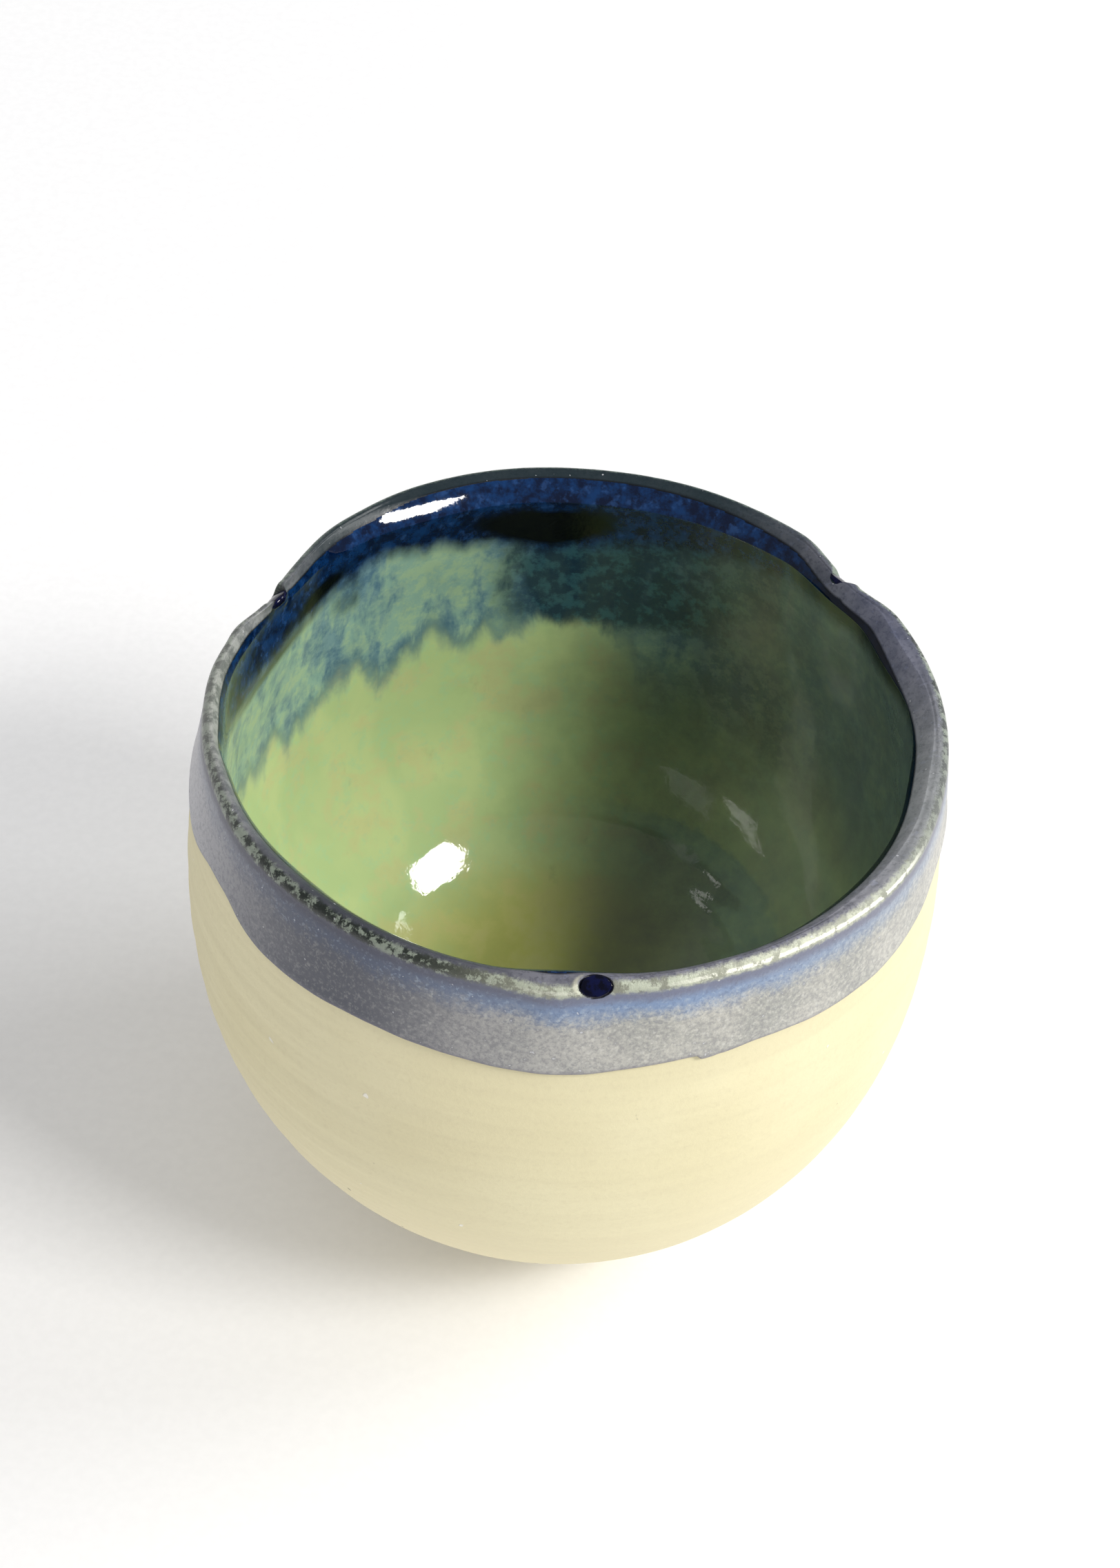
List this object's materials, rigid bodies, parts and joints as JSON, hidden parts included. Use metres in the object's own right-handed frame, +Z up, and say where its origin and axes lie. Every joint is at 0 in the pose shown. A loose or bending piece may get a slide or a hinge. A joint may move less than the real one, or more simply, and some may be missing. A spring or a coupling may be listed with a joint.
{
  "type": "sake cup",
  "caption": "Small round hand-thrown sake cup with a foot ring, bare clay outside, glazed lining, dipped glaze rim and notches in the lip.",
  "frame": {"origin": "middle of the foot ring, on the surface that the cup stands on", "axes": "+Z up through the mouth, the cup's turning axis; -Y towards the viewer of the picture, +X to its right"},
  "size_m": [0.0648, 0.0648, 0.0551],
  "materials": {
    "bare_clay": "matte",
    "green_glaze": "gloss",
    "blue_glaze": "satin",
    "cobalt_glass": "gloss"
  },
  "bodies": {
    "root": {"clay_body": "bare_clay", "liner_glaze": "green_glaze", "rim_glaze": "blue_glaze", "notch_glaze_front": "cobalt_glass", "notch_glaze_right": "cobalt_glass", "notch_glaze_left": "cobalt_glass"}
  },
  "joints": []
}
